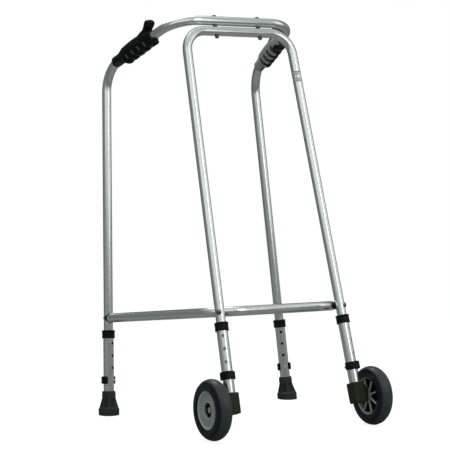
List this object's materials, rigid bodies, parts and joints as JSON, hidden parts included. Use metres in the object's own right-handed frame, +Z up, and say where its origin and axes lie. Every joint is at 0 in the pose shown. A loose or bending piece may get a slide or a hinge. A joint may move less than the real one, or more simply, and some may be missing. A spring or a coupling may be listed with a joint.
{
  "type": "wheeled walking frame",
  "caption": "Wheeled walking frame of bent aluminium tube, with moulded handgrips, telescoping clip-locked legs, front wheels and rear rubber ferrules.",
  "frame": {"origin": "on the floor, at the middle of the outline", "axes": "+Z up, -Y to the front where the wheels are, +X to the user's left; the frame mirrors across X = 0"},
  "size_m": [0.5566, 0.6032, 0.9534],
  "materials": {
    "aluminium_tube": "polished and clear anodised, fine lengthwise drawing lines",
    "grip_plastic": "moulded black grip, fine grain with a soft sheen",
    "black_nylon": "moulded black nylon",
    "steel_hardware": "zinc plated, darkened",
    "zinc_steel": "yellow passivated zinc",
    "ferrule_rubber": "dark grey moulded rubber",
    "block_plastic": "dark olive moulded nylon",
    "hub_plastic": "grey moulded plastic",
    "bush_nylon": "natural nylon",
    "tyre_rubber": "blue-grey solid rubber"
  },
  "bodies": {
    "frame": {"rear_frame_tube": "aluminium_tube", "front_frame_tube": "aluminium_tube", "lower_brace_tube": "aluminium_tube", "crossbar_bolts": "steel_hardware", "crossbar_nuts": "steel_hardware", "crossbar_saddles": "black_nylon", "brace_front_bolts": "steel_hardware", "brace_front_nuts": "steel_hardware", "brace_front_saddles": "black_nylon", "brace_rear_bolts": "steel_hardware", "brace_rear_plugs": "black_nylon", "handgrip_left": "grip_plastic", "handgrip_right": "grip_plastic"},
    "leg_rear_left": {"leg_extension_rear_left": "aluminium_tube", "leg_collar_rear_left": "black_nylon", "ferrule_left": "ferrule_rubber", "ferrule_disc_left": "steel_hardware"},
    "leg_front_left": {"leg_extension_front_left": "aluminium_tube", "leg_collar_front_left": "black_nylon", "wheel_block_left": "block_plastic", "block_pin_left": "steel_hardware", "axle_bolt_left": "zinc_steel", "axle_washers_left": "steel_hardware"},
    "wheel_left": {"wheel_hub_left": "hub_plastic", "hub_bush_left": "bush_nylon", "tyre_left": "tyre_rubber"},
    "clip_rear_left": {"height_clip_rear_left": "black_nylon"},
    "clip_front_left": {"height_clip_front_left": "black_nylon"},
    "leg_rear_right": {"leg_extension_rear_right": "aluminium_tube", "leg_collar_rear_right": "black_nylon", "ferrule_right": "ferrule_rubber", "ferrule_disc_right": "steel_hardware"},
    "leg_front_right": {"leg_extension_front_right": "aluminium_tube", "leg_collar_front_right": "black_nylon", "wheel_block_right": "block_plastic", "block_pin_right": "steel_hardware", "axle_bolt_right": "zinc_steel", "axle_washers_right": "steel_hardware"},
    "wheel_right": {"wheel_hub_right": "hub_plastic", "hub_bush_right": "bush_nylon", "tyre_right": "tyre_rubber"},
    "clip_rear_right": {"height_clip_rear_right": "black_nylon"},
    "clip_front_right": {"height_clip_front_right": "black_nylon"}
  },
  "joints": [
    {"name": "rear_leg_height_left", "type": "slide", "parent": "frame", "child": "leg_rear_left", "axis": [0.0517, -0.1157, -0.9919], "range_m": [0, 0.0885]},
    {"name": "front_leg_height_left", "type": "slide", "parent": "frame", "child": "leg_front_left", "axis": [0.0285, -0.293, -0.9557], "range_m": [0, 0.0885]},
    {"name": "rear_clip_pull_left", "type": "slide", "parent": "leg_rear_left", "child": "clip_rear_left", "axis": [0.4284, 0.8998, -0.0827], "range_m": [0, 0.036]},
    {"name": "front_clip_pull_left", "type": "slide", "parent": "leg_front_left", "child": "clip_front_left", "axis": [0.4639, -0.843, 0.2723], "range_m": [0, 0.036]},
    {"name": "wheel_spin_left", "type": "hinge", "parent": "leg_front_left", "child": "wheel_left", "pos_m": [0.2125, -0.23409, 0.0682], "axis": [1, 0, 0], "continuous": true},
    {"name": "rear_leg_height_right", "type": "slide", "parent": "frame", "child": "leg_rear_right", "axis": [-0.0517, -0.1157, -0.9919], "range_m": [0, 0.0885]},
    {"name": "front_leg_height_right", "type": "slide", "parent": "frame", "child": "leg_front_right", "axis": [-0.0285, -0.293, -0.9557], "range_m": [0, 0.0885]},
    {"name": "rear_clip_pull_right", "type": "slide", "parent": "leg_rear_right", "child": "clip_rear_right", "axis": [-0.4284, 0.8998, -0.0827], "range_m": [0, 0.036]},
    {"name": "front_clip_pull_right", "type": "slide", "parent": "leg_front_right", "child": "clip_front_right", "axis": [-0.4639, -0.843, 0.2723], "range_m": [0, 0.036]},
    {"name": "wheel_spin_right", "type": "hinge", "parent": "leg_front_right", "child": "wheel_right", "pos_m": [-0.2125, -0.23409, 0.0682], "axis": [1, 0, 0], "continuous": true}
  ]
}
